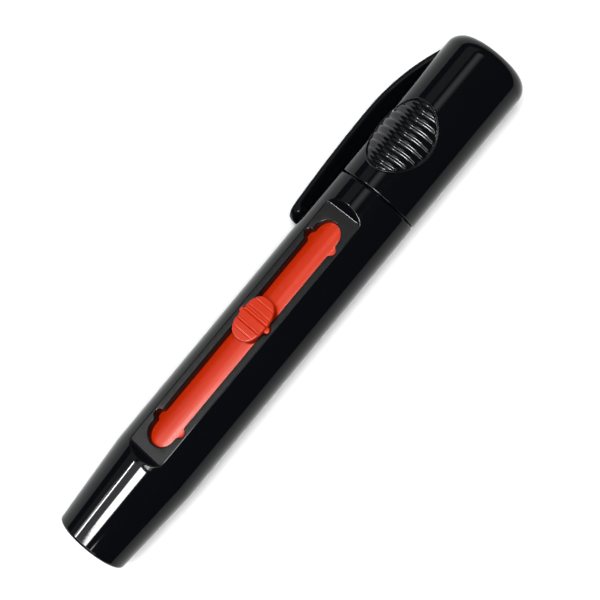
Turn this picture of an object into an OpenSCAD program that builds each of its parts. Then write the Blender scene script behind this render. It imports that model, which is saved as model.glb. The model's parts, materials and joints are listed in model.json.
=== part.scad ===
// Lens cleaning pen: a slide-out brush in the barrel, and a carbon cleaning tip under a clip cap.
// The pen lies on its side on a table, resting on the barrel and on the lower edge of the clip.
// Local pen frame: X runs from the nose (0) to the cap end, +Z is the thumb slot side, +Y the clip side.

/* [Body] */
// Outer diameter of barrel and cap
body_d = 16.6; // [15.6:0.1:20]
// Length of the barrel, from the nose to the seam with the cap
barrel_length = 80; // [74:1:100]
// Length of the cap
cap_length = 33; // [31:0.5:42]
// Gap between barrel and cap at the seam
seam_gap = 0.2; // [0.1:0.05:0.8]
// Radius on the edges of the seam
seam_round = 0.2; // [0.1:0.05:0.4]
// Radius of the corner at the cap's end
cap_end_round = 3; // [1:0.25:3.5]

/* [Nose] */
// Length of the tapered nose
nose_length = 17.5; // [8:0.5:18]
// Diameter of the nose at its front end
nose_d = 14.2; // [13.8:0.1:15.4]
// Radius on the nose's front edge
nose_round = 0.6; // [0.2:0.05:0.65]

/* [Bore and neck] */
// Diameter of the bore that the brush carriage slides in
bore_d = 12.3; // [11.6:0.1:12.6]
// Running clearance of the carriage in the bore, on the radius
carriage_clearance = 0.08; // [0.02:0.01:0.1]
// Wall of the hollow neck that the cap goes over
neck_wall = 0.95; // [0.7:0.05:1.1]
// Clearance of the cap on the neck, on the radius
cap_clearance = 0.09; // [0.02:0.01:0.1]
// Length of the neck behind the seam
neck_length = 16; // [15.4:0.1:16.4]
// Depth of the narrow seat for the tip base at the neck's end
seat_depth = 4; // [3.4:0.1:4.1]
// Step from the bore in to that seat
seat_step = 1.55; // [1.3:0.05:2]

/* [Flat and slot] */
// Depth of the flat below the round surface
flat_depth = 1.02; // [0.8:0.02:1.25]
// Where the flat's floor starts
flat_start = 19.8; // [19.8:0.1:21]
// Length of each ramp from the floor up to the round surface
ramp_length = 1.6; // [0.8:0.1:2]
// Distance from the floor's rear end to the seam
flat_margin = 6; // [4:0.5:8]
// Width of the thumb slot
slot_width = 5.4; // [5:0.1:6]
// Distance from the front of the flat's floor to the slot
slot_front_margin = 1.9; // [1:0.1:3]
// Distance from the slot to the rear of the flat's floor
slot_rear_margin = 2.2; // [1:0.1:3]
// Radius of the detent notches beside the slot
notch_r = 0.9; // [0.7:0.05:1]
// Distance of the front notches from the slot's front end
notch_front_margin = 4.6; // [4.6:0.1:6]
// Distance of the rear notches from the slot's rear end
notch_rear_margin = 4.3; // [4.3:0.1:6]

/* [Brush carriage] */
// Place of the button's centre when it is parked in the middle notch
button_x = 49.7; // [46:0.1:50]
// Wall of the carriage tube
carriage_wall = 1.15; // [0.9:0.05:1.3]
// Length of carriage ahead of the slot's front end at rest
carriage_lead = 2.2; // [1:0.1:3]
// Length of carriage behind the slot's rear end at rest
carriage_tail = 1.7; // [0.5:0.1:1.8]
// Depth of the socket that holds the ferrule
socket_depth = 10; // [7:0.5:12]
// Thickness of the web behind that socket
web_t = 1.2; // [0.8:0.1:2]

/* [Thumb button] */
// Length of the oval button
button_length = 8.8; // [7:0.1:9]
// Fullness of the button's outline, where 2 is a plain ellipse
button_fullness = 2.6; // [2:0.1:3.2]
// How far the button's head overhangs each edge of the slot
button_lip = 0.2; // [0:0.01:0.3]
// Height of the button's top above the round surface
button_proud = 0.2; // [0:0.05:0.3]
// Clearance between the button's neck and the slot's edges
neck_clearance = 0.15; // [0.1:0.01:0.25]
// Gap under the button's head and ears, above the flat
head_gap = 0.1; // [0.08:0.01:0.2]
// Diameter of the small detent ears
ear_d = 1.3; // [1:0.05:1.4]
// Depth of the grooves across the button
groove_depth = 0.22; // [0.1:0.02:0.35]

/* [Brush] */
// Wall of the carriage around the metal ferrule
socket_wall = 1.47; // [1:0.01:2]
// Wall of the ferrule
ferrule_wall = 0.35; // [0.25:0.05:0.5]
// How far the ferrule stands out of the carriage
ferrule_out = 2.5; // [1:0.1:3.5]
// Free length of the bristles
bristle_length = 15; // [12:0.5:15.4]
// Gap between the widest part of the bristles and the bore
bristle_gap = 0.95; // [0.4:0.05:1.6]

/* [Carbon tip] */
// Thickness of the base's flange
flange_t = 1.2; // [0.8:0.1:1.4]
// Step from the neck's surface in to the flange
flange_step = 0.8; // [0.4:0.1:1.2]
// Diameter of the soft tip
tip_d = 10.8; // [8.8:0.1:11.2]
// Diameter of the rubber stem
stem_d = 5; // [3.6:0.1:6]
// Free length of the rubber stem
stem_length = 2; // [1.4:0.1:2.2]
// Thickness of the stiff backing disc
backing_t = 1.5; // [1:0.1:1.7]
// Thickness of the foam
foam_t = 1.4; // [1:0.1:1.6]
// Thickness of the chamois face
chamois_t = 0.6; // [0.4:0.05:0.8]
// Depth of the dish in the chamois face
dish_depth = 0.25; // [0:0.05:0.35]

/* [Carbon store] */
// Gap between the chamois and the felt pad
felt_gap = 0.3; // [0.1:0.05:0.5]
// Thickness of the felt pad
felt_t = 1.4; // [1:0.1:1.6]
// Thickness of the carbon cake
cake_t = 2.4; // [1.5:0.1:2.6]
// Wall of the carbon cup and of the tip sleeve
cup_wall = 0.6; // [0.5:0.05:0.7]
// Outer diameter of the carbon cup
cup_d = 11.2; // [10:0.1:11.4]
// Clearance between the soft tip and its sleeve
tip_clearance = 0.3; // [0.1:0.05:0.5]

/* [Clip] */
// Width of the clip
clip_width = 7; // [5:0.1:7.2]
// Thickness of the clip
clip_t = 1.15; // [0.9:0.05:1.3]
// How far the clip's tip reaches past the seam
clip_reach = 12.4; // [8:0.1:13]
// Height of the clip's crown above the round surface
clip_rise = 3.38; // [3:0.02:3.6]
// Distance of the crown from the cap's end
crown_back = 21; // [20:0.1:21.6]
// Radius of the clip's long front arc
front_arc = 260; // [200:5:400]
// Radius of the clip's tight rear arc
rear_arc = 37; // [36:0.5:40]
// Distance of the clip's foot end from the cap's end
foot_back = 4.7; // [4.4:0.1:5]
// Gap between the clip's bead and the barrel, which must clear the button's top
bead_gap = 0.35; // [0.05:0.05:0.6]
// Radius on the clip's long edges
clip_edge = 0.4; // [0.2:0.05:0.5]
// Clearance around the clip's foot in the cap
foot_clearance = 0.2; // [0.15:0.01:0.25]

/* [Grip pads] */
// Distance of the pads' centre from the seam
pad_offset = 10.9; // [9:0.1:11.5]
// Length of a pad along the pen
pad_length = 15.4; // [10:0.1:15.5]
// Width of a pad, measured straight across
pad_width = 12.1; // [9:0.1:12.4]
// Depth of the pockets that the pads sit in
pad_depth = 0.45; // [0.3:0.05:0.6]
// Height of the pad's ribs above the round surface
rib_proud = 0.3; // [0.1:0.05:0.4]
// Distance from rib to rib
rib_pitch = 1.6; // [1.2:0.1:2]
// Width of a rib
rib_width = 0.8; // [0.5:0.05:1]

/* [Resting attitude] */
// How far the slot is turned from straight up, towards the clip side
slot_roll = 23; // [0:0.5:40]

/* [Hidden] */
$fn = 96;
tiny = 0.02;

body_r = body_d / 2;
pen_length = barrel_length + cap_length;

// Stations along the pen
neck_end = barrel_length + neck_length;
seat_start = neck_end - seat_depth;
flat_z = body_r - flat_depth;
flat_end = barrel_length - flat_margin;
slot_start = flat_start + slot_front_margin;
slot_end = flat_end - slot_rear_margin;
notch_front = slot_start + notch_front_margin;
notch_rear = slot_end - notch_rear_margin;

// Radii of the bore, the neck and the cap
bore_r = bore_d / 2;
neck_r = bore_r + neck_wall;
cap_bore_r = neck_r + cap_clearance;
neck_chamfer = 0.4;
nose_r = nose_d / 2;
seat_r = bore_r - seat_step;

// Seal ring in its groove near the neck's end
ring_tube = 0.575;
ring_gap = 0.04;
groove_r = cap_bore_r - 2 * ring_tube - 2 * ring_gap;
groove_half = ring_tube + ring_gap;
ring_setback = 1.5;
ring_x = seat_start + ring_setback;

// Brush carriage at rest
carriage_r = bore_r - carriage_clearance;
carriage_inner = carriage_r - carriage_wall;
carriage_start = slot_start - carriage_lead;
carriage_end = slot_end + carriage_tail;
ferrule_r = carriage_r - socket_wall;
ferrule_start = carriage_start - ferrule_out;
socket_end = carriage_start + socket_depth;
hair_r = ferrule_r - ferrule_wall;
binder_inset = 3;
binder_start = carriage_start + binder_inset;
bristle_tip = ferrule_start - bristle_length;

// Thumb button, from the carriage outwards
button_width = slot_width + 2 * button_lip;
button_neck_w = slot_width - 2 * neck_clearance;
neck_inset = 0.4;
button_neck_l = button_length - 2 * neck_inset;
head_z = flat_z + head_gap;
button_top = body_r + button_proud;
hidden_skirt = 0.15;
foot_l = 5;
foot_w = 3;
leg_t = 1.2;
hook = 0.4;
hook_h = 0.8;
hook_gap = 0.35;
// Grooves across the button: distance from its centre, and width
grooves = [[-2.9, 0.35], [-1.35, 0.5], [0.65, 0.5], [1.6, 0.35], [3.1, 0.35]];
ear_offset = 0.3;
ear_h = 0.25;
ear_reach = slot_width / 2 + ear_offset;

// Carbon tip, stacked behind the neck
flange_end = neck_end + flange_t;
backing_start = flange_end + stem_length;
foam_start = backing_start + backing_t;
chamois_start = foam_start + foam_t;
chamois_end = chamois_start + chamois_t;
tip_r = tip_d / 2;
stem_r = stem_d / 2;
stem_start = seat_start + 1;
stem_end = backing_start + backing_t / 2;

// Carbon store in the cap
felt_start = chamois_end + felt_gap;
cup_start = chamois_end + felt_gap / 2;
cake_start = felt_start + felt_t;
cup_floor = cake_start + cake_t;
cup_end = cup_floor + cup_wall;
cup_r = cup_d / 2;
store_r = cup_r - cup_wall;
sleeve_r = tip_r + tip_clearance + cup_wall;
sleeve_gap = 0.3;
sleeve_start = flange_end + sleeve_gap;
cap_start = barrel_length + seam_gap;

// Clip outline
crown_x = pen_length - crown_back;
crown_y = body_r + clip_rise;
clip_start = barrel_length - clip_reach;
clip_end = pen_length - foot_back;
clip_half = clip_width / 2;
tip_round = 2.4;
bead_offset = 2.2;
bead_x = clip_start + bead_offset;
bead_half = 1.5;
pocket_offset = 9;
pocket_start = crown_x + pocket_offset;

// The cap turns until the clip's lower edge just touches the table
rest_r = body_r + rib_proud;
clip_arm = crown_y - clip_edge;
clip_side = clip_half - clip_edge;
cap_roll = asin((rest_r - clip_edge) / norm([clip_arm, clip_side])) - atan2(clip_side, clip_arm);
clip_far = clip_arm * cos(cap_roll) + clip_side * sin(cap_roll) + clip_edge;
centre_y = (clip_far - body_r) / 2;

// Grip pads
pad_x = barrel_length + pad_offset;
rib_margin = 0.6;
pad_skin = 0.1;
pad_count = floor((pad_length / 2 - rib_margin) / rib_pitch);

// Outer surface of the clip above the pen's axis, as two arcs that meet at the crown
function clip_outer(x) = let (
        r = x < crown_x ? front_arc : rear_arc,
        d = x - crown_x)
    crown_y - r + sqrt(r * r - d * d);

// Vertical thickness of the clip, which keeps the true thickness on the steep rear arc
function clip_depth(x) = let (
        r = x < crown_x ? front_arc : rear_arc,
        d = x - crown_x)
    clip_t * r / sqrt(r * r - d * d);

// Depth that the bead adds near the tip
function bead_depth(x) = let (
        u = (x - bead_x) / bead_half,
        deep = clip_outer(bead_x) - clip_depth(bead_x) - body_r - bead_gap)
    abs(u) >= 1 ? 0 : deep * (1 + cos(180 * u)) / 2;

// Half the clip's width, which rounds the tip
function clip_half_at(x) = let (d = tip_round - (x - clip_start))
    d <= 0 ? clip_half : clip_half - tip_round + sqrt(tip_round * tip_round - d * d);

// Rounded section of the clip at one station
function clip_section(x, n = 5) = let (
        w = clip_half_at(x),
        top = clip_outer(x),
        low = top - clip_depth(x) - bead_depth(x),
        e = clip_edge)
    [for (c = [[1, 1, 0], [-1, 1, 90], [-1, -1, 180], [1, -1, 270]], k = [0:n])
        let (a = c[2] + 90 * k / n)
        [x,
         (c[1] > 0 ? top - e : low + e) + e * sin(a),
         c[0] * (w - e) + e * cos(a)]];

// Closed oval outline; a fullness over 2 squares it up
function oval(a, b, fullness = 2, n = 48) = [for (k = [0:n - 1])
    let (c = cos(360 * k / n), s = sin(360 * k / n))
    [a * sign(c) * pow(abs(c), 2 / fullness), b * sign(s) * pow(abs(s), 2 / fullness)]];

// Places a piece in the resting attitude, with the origin under the middle of the whole pen
module place(roll) {
    translate([-pen_length / 2, -centre_y, rest_r])
        rotate([-roll, 0, 0])
            children();
}

// Turns a profile drawn as [radius, station] about the pen's axis
module turn() {
    rotate([0, 90, 0])
        rotate_extrude()
            children();
}

// Plain tube or disc about the pen's axis
module ring(x0, x1, outer, inner = 0) {
    translate([x0, 0, 0])
        rotate([0, 90, 0])
            difference() {
                cylinder(h = x1 - x0, r = outer);
                if (inner > 0)
                    translate([0, 0, -1])
                        cylinder(h = x1 - x0 + 2, r = inner);
            }
}

// Profile of the barrel: nose, body, seam edge and the neck with its ring groove
module barrel_profile() {
    r = nose_round;
    s = seam_round;
    difference() {
        union() {
            polygon([[0, 0], [nose_r - r, 0], [nose_r, r], [body_r, nose_length],
                [body_r, barrel_length - s], [body_r - s, barrel_length],
                [neck_r, barrel_length], [neck_r, neck_end - neck_chamfer],
                [neck_r - neck_chamfer, neck_end], [0, neck_end]]);
            translate([nose_r - r, r]) circle(r);
            translate([body_r - s, barrel_length - s]) circle(s);
        }
        translate([groove_r, ring_x - groove_half])
            square([neck_r, 2 * groove_half]);
    }
}

module slot_outline() {
    r = slot_width / 2;
    translate([slot_start + r, -r])
        square([slot_end - slot_start - slot_width, slot_width]);
    for (x = [slot_start + r, slot_end - r])
        translate([x, 0]) circle(r);
    for (x = [notch_front, button_x, notch_rear], y = [-r, r])
        translate([x, y]) circle(notch_r, $fn = 48);
}

// The flat with its ramps, drawn along the pen and cut straight across
module flat_cut() {
    top = body_r + 1;
    run = ramp_length * (top - flat_z) / flat_depth;
    rotate([90, 0, 0])
        translate([0, 0, -body_r])
            linear_extrude(2 * body_r)
                polygon([[flat_start, flat_z], [flat_end, flat_z],
                    [flat_end + run, top], [flat_start - run, top]]);
}

module barrel_shell() {
    color([0.03, 0.03, 0.035])
        place(slot_roll)
            difference() {
                turn() barrel_profile();
                ring(-1, seat_start, bore_r);
                ring(seat_start - 1, neck_end + 1, seat_r);
                flat_cut();
                linear_extrude(body_r + 1) slot_outline();
            }
}

// Red tube that carries the brush, with a window for the button's foot
module brush_carriage() {
    color([0.85, 0.2, 0.1])
        place(slot_roll)
            difference() {
                ring(carriage_start, carriage_end, carriage_r);
                ring(carriage_start - 1, socket_end, ferrule_r);
                ring(socket_end + web_t, carriage_end + 1, carriage_inner);
                translate([button_x - foot_l / 2, -foot_w / 2, 0])
                    cube([foot_l, foot_w, body_r]);
            }
}

// Oval head with grooves, a neck through the slot, and a hooked foot in the carriage
module thumb_button() {
    seat_z = sqrt(pow(carriage_r, 2) - pow(button_neck_w / 2, 2)) - hidden_skirt;
    color([0.92, 0.3, 0.17])
        place(slot_roll)
            translate([button_x, 0, 0])
                difference() {
                    union() {
                        difference() {
                            translate([0, 0, seat_z])
                                linear_extrude(head_z - seat_z + tiny)
                                    polygon(oval(button_neck_l / 2, button_neck_w / 2));
                            ring(-button_length, button_length, carriage_r);
                        }
                        translate([0, 0, head_z])
                            linear_extrude(button_top - head_z)
                                polygon(oval(button_length / 2, button_width / 2, button_fullness));
                        for (s = [-1, 1])
                            translate([0, s * ear_reach, head_z])
                                cylinder(h = ear_h, d = ear_d, $fn = 32);
                        button_foot();
                    }
                    for (g = grooves)
                        translate([g[0] - g[1] / 2, -button_width, button_top - groove_depth])
                            cube([g[1], 2 * button_width, 1]);
                }
}

// Two legs through the carriage wall, with hooks that catch inside it
module button_foot() {
    hook_top = carriage_inner - hook_gap;
    hook_low = hook_top - hook_h;
    for (s = [-1, 1])
        translate([s * (foot_l - leg_t) / 2 - leg_t / 2, -foot_w / 2, hook_low]) {
            cube([leg_t, foot_w, carriage_r - hook_low + hidden_skirt]);
            translate([min(s, 0) * hook, 0, 0])
                cube([leg_t + hook, foot_w, hook_h]);
        }
}

module brush_ferrule() {
    color([0.75, 0.76, 0.78])
        place(slot_roll)
            ring(ferrule_start, socket_end, ferrule_r, hair_r);
}

// Resin that holds the roots of the hair in the ferrule
module hair_binder() {
    color([0.85, 0.75, 0.5])
        place(slot_roll)
            ring(binder_start, socket_end, hair_r);
}

// Bundle of hair: straight in the ferrule, flared and then rounded at its tip
module brush_bristles() {
    swell = bore_r - bristle_gap;
    color([0.12, 0.1, 0.09])
        place(slot_roll)
            turn()
                polygon([[0, binder_start], [hair_r, binder_start], [hair_r, ferrule_start],
                    [swell, bristle_tip + 5], [swell - 0.3, bristle_tip + 3],
                    [swell - 1.2, bristle_tip + 1.2], [swell - 2.6, bristle_tip + 0.3],
                    [0, bristle_tip]]);
}

module cap_o_ring() {
    color([0.05, 0.05, 0.05])
        place(cap_roll)
            turn()
                translate([cap_bore_r - ring_gap - ring_tube, ring_x])
                    circle(ring_tube, $fn = 32);
}

// Plug in the neck with a flange and a hole for the rubber stem
module tip_base() {
    color([0.06, 0.06, 0.065])
        place(slot_roll)
            difference() {
                union() {
                    ring(seat_start, neck_end + tiny, seat_r);
                    ring(neck_end, flange_end, neck_r - flange_step);
                }
                ring(stem_start, flange_end + 1, stem_r);
            }
}

module tip_stem() {
    color([0.1, 0.1, 0.1])
        place(slot_roll)
            ring(stem_start, stem_end, stem_r);
}

module tip_backing() {
    color([0.06, 0.06, 0.065])
        place(slot_roll)
            difference() {
                ring(backing_start, foam_start, tip_r);
                ring(backing_start - 1, stem_end, stem_r);
            }
}

module tip_foam() {
    color([0.2, 0.2, 0.2])
        place(slot_roll)
            ring(foam_start, chamois_start, tip_r);
}

// Soft face, slightly dished to suit a lens
module chamois_face() {
    color([0.1, 0.1, 0.1])
        place(slot_roll)
            turn()
                polygon(concat([[0, chamois_start], [tip_r, chamois_start]],
                    [for (k = [8:-1:0]) let (u = k / 8)
                        [tip_r * u, chamois_end - dish_depth * (1 - u * u)]]));
}

module cap_profile() {
    r = cap_end_round;
    s = seam_round;
    polygon([[0, cap_start], [body_r - s, cap_start], [body_r, cap_start + s],
        [body_r, pen_length - r], [body_r - r, pen_length], [0, pen_length]]);
    translate([body_r - s, cap_start + s]) circle(s);
    translate([body_r - r, pen_length - r]) circle(r);
}

// Room for the clip's foot: the space above an arc just under the clip
module foot_pocket() {
    c = foot_clearance;
    translate([0, 0, -clip_half - c])
        linear_extrude(clip_width + 2 * c)
            difference() {
                translate([pocket_start, 0])
                    square([clip_end + c - pocket_start, crown_y + 1]);
                translate([crown_x, crown_y - rear_arc])
                    circle(rear_arc - clip_t - c, $fn = 360);
            }
}

module pad_outline(grow = 0) {
    linear_extrude(body_r + 2)
        polygon([for (p = oval(pad_length / 2 + grow, pad_width / 2 + grow)) [pad_x + p[0], p[1]]]);
}

module cap_shell() {
    color([0.03, 0.03, 0.035])
        place(cap_roll)
            difference() {
                turn() cap_profile();
                ring(cap_start - 1, sleeve_start, cap_bore_r);
                ring(sleeve_start - 1, cup_start, sleeve_r);
                ring(cup_start - 1, cup_end, cup_r);
                foot_pocket();
                for (a = [0, 180])
                    rotate([a, 0, 0])
                        difference() {
                            pad_outline();
                            ring(cap_start - 1, pen_length, body_r - pad_depth);
                        }
            }
}

// Spring clip, lofted through rounded sections along its two arcs
module clip() {
    xs = concat(
        [for (k = [0:8]) clip_start + 0.08 + (tip_round - 0.08) * (1 - cos(90 * k / 8))],
        [for (k = [1:12]) clip_start + tip_round + (bead_x + bead_half - clip_start - tip_round) * k / 12],
        [for (k = [1:30]) bead_x + bead_half + (clip_end - bead_x - bead_half) * k / 30]);
    n = len(clip_section(crown_x));
    rings = len(xs);
    points = [for (x = xs) each clip_section(x)];
    faces = concat(
        [[for (k = [0:n - 1]) k]],
        [for (i = [0:rings - 2], k = [0:n - 1])
            [i * n + (k + 1) % n, i * n + k, (i + 1) * n + k, (i + 1) * n + (k + 1) % n]],
        [[for (k = [0:n - 1]) rings * n - 1 - k]]);
    color([0.03, 0.03, 0.035])
        place(cap_roll)
            polyhedron(points, faces, convexity = 4);
}

// Ribbed pad: a thin skin with ribs that run around the pen
module grip_pad(side) {
    color([0.08, 0.08, 0.08])
        place(cap_roll)
            rotate([side, 0, 0])
                intersection() {
                    union() {
                        ring(pad_x - pad_length, pad_x + pad_length, body_r - pad_skin, body_r - pad_depth);
                        for (k = [-pad_count:pad_count])
                            ring(pad_x + k * rib_pitch - rib_width / 2, pad_x + k * rib_pitch + rib_width / 2,
                                body_r + rib_proud, body_r - pad_depth);
                    }
                    pad_outline();
                }
}

module grip_pad_front() {
    grip_pad(0);
}

module grip_pad_rear() {
    grip_pad(180);
}

// Smooth sleeve in the cap that guides the tip
module tip_sleeve() {
    color([0.15, 0.15, 0.16])
        place(cap_roll)
            ring(sleeve_start, cup_start, sleeve_r, sleeve_r - cup_wall);
}

module carbon_cup() {
    color([0.15, 0.15, 0.16])
        place(cap_roll)
            difference() {
                ring(cup_start, cup_end, cup_r);
                ring(cup_start - 1, cup_floor, store_r);
            }
}

module carbon_cake() {
    color([0.02, 0.02, 0.02])
        place(cap_roll)
            ring(cake_start, cup_floor, store_r);
}

module felt_pad() {
    color([0.12, 0.12, 0.12])
        place(cap_roll)
            ring(felt_start, cake_start, store_r);
}

barrel_shell();
brush_carriage();
thumb_button();
brush_ferrule();
hair_binder();
brush_bristles();
cap_o_ring();
tip_base();
tip_stem();
tip_backing();
tip_foam();
chamois_face();
cap_shell();
clip();
grip_pad_front();
grip_pad_rear();
tip_sleeve();
carbon_cup();
carbon_cake();
felt_pad();
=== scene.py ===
"""Lens cleaning pen: the visible pieces, their finishes and the studio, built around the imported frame.

Every piece is modelled in pen coordinates, in millimetres: x runs from the nose to the cap end, z points out
of the thumb slot and y out of the clip. place() turns that into the shared frame, in metres.
"""

import json
import math
import random

import bmesh
import bpy
import numpy as np
from bpy.props import FloatProperty, FloatVectorProperty, IntProperty, PointerProperty
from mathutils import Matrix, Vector, geometry


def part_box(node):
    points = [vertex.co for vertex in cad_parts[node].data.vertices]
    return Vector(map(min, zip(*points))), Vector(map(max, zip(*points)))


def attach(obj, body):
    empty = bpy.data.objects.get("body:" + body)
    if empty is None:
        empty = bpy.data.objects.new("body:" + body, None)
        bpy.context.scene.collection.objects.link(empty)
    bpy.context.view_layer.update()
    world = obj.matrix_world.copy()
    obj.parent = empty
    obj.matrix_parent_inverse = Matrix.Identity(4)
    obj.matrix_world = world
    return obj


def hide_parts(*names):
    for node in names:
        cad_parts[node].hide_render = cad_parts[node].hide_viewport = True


bl_info = {
    "name": "Lens Cleaning Pen",
    "version": (1, 0, 0),
    "blender": (4, 5, 0),
    "location": "View3D > Sidebar > Lens Pen",
    "description": "Builds a lens cleaning pen with a slide-out brush and a capped carbon tip",
    "category": "Object",
}

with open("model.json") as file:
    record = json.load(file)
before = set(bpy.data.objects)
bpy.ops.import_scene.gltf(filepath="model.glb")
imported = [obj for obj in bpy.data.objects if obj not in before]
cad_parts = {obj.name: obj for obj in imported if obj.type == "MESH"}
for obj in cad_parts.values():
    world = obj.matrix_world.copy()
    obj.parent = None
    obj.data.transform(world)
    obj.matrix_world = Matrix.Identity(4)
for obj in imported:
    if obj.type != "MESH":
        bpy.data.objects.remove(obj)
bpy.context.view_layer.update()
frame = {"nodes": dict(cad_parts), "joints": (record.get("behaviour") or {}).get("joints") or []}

# ---------------------------------------------------------------------------
# The pen's place and its main sizes, read from the frame, in millimetres
# ---------------------------------------------------------------------------

# Metres in a millimetre, and how close two points are when they count as one
MM, SAME_PLACE = 0.001, 1e-7


def node_span(node):
    """Where a CAD node starts and ends along the pen, from the nose."""
    lo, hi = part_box(node)
    return (lo.x - NOSE_X) / MM, (hi.x - NOSE_X) / MM


def node_radius(node):
    """Outer radius of a round CAD node."""
    lo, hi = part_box(node)
    return (hi.z - lo.z) / 2 / MM


def node_size(node):
    """Where a round CAD node starts and ends along the pen, and its outer radius."""
    return (*node_span(node), node_radius(node))


def node_roll(node):
    """How far a CAD node's centre of surface is turned from straight up, about the pen's axis."""
    total, centre = 0.0, Vector((0, 0, 0))
    for face in frame["nodes"][node].data.polygons:
        total += face.area
        centre += face.center * face.area
    centre /= total
    return math.atan2(centre.y - AXIS_Y, centre.z - AXIS_Z)


BARREL_LO, BARREL_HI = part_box("barrel_shell")
NOSE_X = BARREL_LO.x
AXIS_Y = (BARREL_LO.y + BARREL_HI.y) / 2
AXIS_Z = (BARREL_LO.z + BARREL_HI.z) / 2
BODY_R = node_radius("barrel_shell")
CAP_START, PEN_END = node_span("cap_shell")
NECK_END = node_span("barrel_shell")[1]
SLOT_ROLL = node_roll("thumb_button")
CLIP_JOINT = next(j for j in frame["joints"] if j["name"] == "clip_flex")
CAP_ROLL = math.atan2(-CLIP_JOINT["axis"][1], -CLIP_JOINT["axis"][2])


def place(points, roll):
    """Pen coordinates in millimetres to the shared frame in metres, turned by roll about the axis."""
    p = np.asarray(points, float)
    c, s = math.cos(roll), math.sin(roll)
    out = np.empty_like(p)
    out[:, 0] = NOSE_X + p[:, 0] * MM
    out[:, 1] = AXIS_Y + (p[:, 1] * c + p[:, 2] * s) * MM
    out[:, 2] = AXIS_Z + (p[:, 2] * c - p[:, 1] * s) * MM
    return out


# ---------------------------------------------------------------------------
# Sizes and colours that a user would change
# ---------------------------------------------------------------------------


def length(text, default, low=0.0, high=120.0):
    return FloatProperty(description=text, default=default, min=low, max=high, unit="LENGTH")


def amount(text, default, low=0.0, high=1000.0):
    return FloatProperty(description=text, default=default, min=low, max=high)


def colour(text, default):
    return FloatVectorProperty(description=text, default=default, subtype="COLOR", size=3, min=0.0, max=1.0)


class PenSizes(bpy.types.PropertyGroup):
    """Sizes of the visible pieces. One unit is a millimetre on the pen."""

    nose_length: length("Length of the tapered nose", 17.5)
    nose_radius: length("Radius of the nose at its front", 7.1)
    nose_round: length("Radius on the nose's front edge", 0.6)
    bore_radius: length("Radius of the bore for the brush carriage", 6.15)
    neck_radius: length("Radius of the neck under the cap", 7.1)
    seam_round: length("Radius on the barrel's edge at the seam", 0.25)
    cap_lip: length("Radius on the cap's edge at the seam", 0.45)
    cap_round: length("Radius of the corner at the cap's end", 3.0)
    flat_height: length("Height of the flat above the axis", 7.28)
    flat_start: length("Where the floor of the flat starts", 19.8)
    flat_end: length("Where the floor of the flat ends", 74.0)
    ramp: length("Length of the ramps at the flat's ends", 1.6)
    ramp_foot: length("Length of the fillet at the foot of a ramp", 0.35)
    slot_start: length("Front end of the thumb slot", 21.7)
    slot_end: length("Rear end of the thumb slot", 71.8)
    slot_width: length("Width of the thumb slot", 5.4)
    slot_round: length("Radius on the slot's upper edge", 0.2)
    notch_radius: length("Radius of the detent notches", 0.9)
    seam_gap: length("Gap between the barrel and the cap", 0.2)
    seat_radius: length("Radius of the seat for the tip base", 4.6)
    carriage_wall: length("Wall of the carriage tube", 1.15)
    button_proud: length("Height of the button above the round surface", 0.2)
    button_lip: length("How far the button's head overhangs the slot", 0.19)
    button_fullness: amount("2 is a plain ellipse, and more squares it up", 2.6, 2, 4)
    button_round: length("Radius on the button's upper edge", 0.28)
    flat_corner: length("Radius of the corners of the flat's floor", 0.8)
    ear_radius: length("Radius of the button's detent ears", 0.62)
    ferrule_wall: length("Wall of the metal ferrule", 0.35)
    dish: length("Depth of the dish in the chamois face", 0.25)
    pad_width: length("Width of a grip pad, straight across", 12.1)
    pad_depth: length("How deep a grip pad sits in the cap", 0.4)
    rib_pitch: length("Distance between the grip pad's ribs", 1.6)
    rib_height: length("Height of the grip pad's ribs", 0.27)
    rim_height: length("Height of the grip pad's rim", 0.29)
    clip_edge: length("Radius on the clip's long edges", 0.4)
    clip_thickness: length("Thickness of the clip", 1.15)
    bead_gap: length("Gap between the clip's bead and the barrel", 0.35)
    crown_back: length("Distance of the clip's crown from the cap's end", 21.0)
    front_arc: length("Radius of the clip's long front arc", 260.0, 100, 600)
    rear_arc: length("Radius of the clip's tight rear arc", 37.0)
    cup_wall: length("Wall of the carbon cup and of the tip sleeve", 0.6)
    hair_count: IntProperty(description="Number of hairs in the brush", default=1500, min=100)
    round_steps: IntProperty(description="Segments around a turned piece", default=160, min=48)


class PenColours(bpy.types.PropertyGroup):
    """Base colours of the finishes."""

    black: colour("Gloss black of the barrel, cap and clip", (0.0042, 0.0047, 0.0064))
    flat: colour("Satin black of the flat beside the slot", (0.0045, 0.0045, 0.0048))
    red: colour("Red of the button and the carriage", (0.59, 0.037, 0.003))
    metal: colour("Metal of the ferrule", (0.72, 0.73, 0.75))
    hair: colour("Hair of the brush", (0.055, 0.042, 0.034))
    rubber: colour("Rubber of the stem and the ring", (0.018, 0.018, 0.019))
    inner: colour("Dull plastic of the hidden parts", (0.03, 0.03, 0.032))
    chamois: colour("Carbon-dusted chamois", (0.022, 0.021, 0.020))
    floor: colour("Pale studio floor", (0.92, 0.92, 0.92))
    room: colour("Dark surroundings", (0.03, 0.03, 0.035))


class PenStage(bpy.types.PropertyGroup):
    """Camera and light."""

    camera_turn: FloatProperty(
        description="Turn of the camera about the vertical", default=math.radians(-50.3), subtype="ANGLE")
    camera_distance: length("Height of the camera above the pen's axis", 244.0, 50, 900)
    camera_lens: amount("Focal length in millimetres", 81.5, 10)
    look_ahead: length("How far the camera sits towards the cap from the pen's middle", 1.0)
    look_aside: length("How far the camera sits from the axis, away from the clip", 0.95)
    key: amount("Brightness of the softbox that the nose mirrors", 52)
    ribs: amount("Brightness of the panel that the ribs mirror", 10)
    glow: amount("Brightness of the dim panel on the clip's side", 2.0)
    fill: amount("Brightness of the light overhead", 27.2)
    contrast: amount("Less than 1 deepens the blacks", 0.87, 0.5, 1.5)


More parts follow.
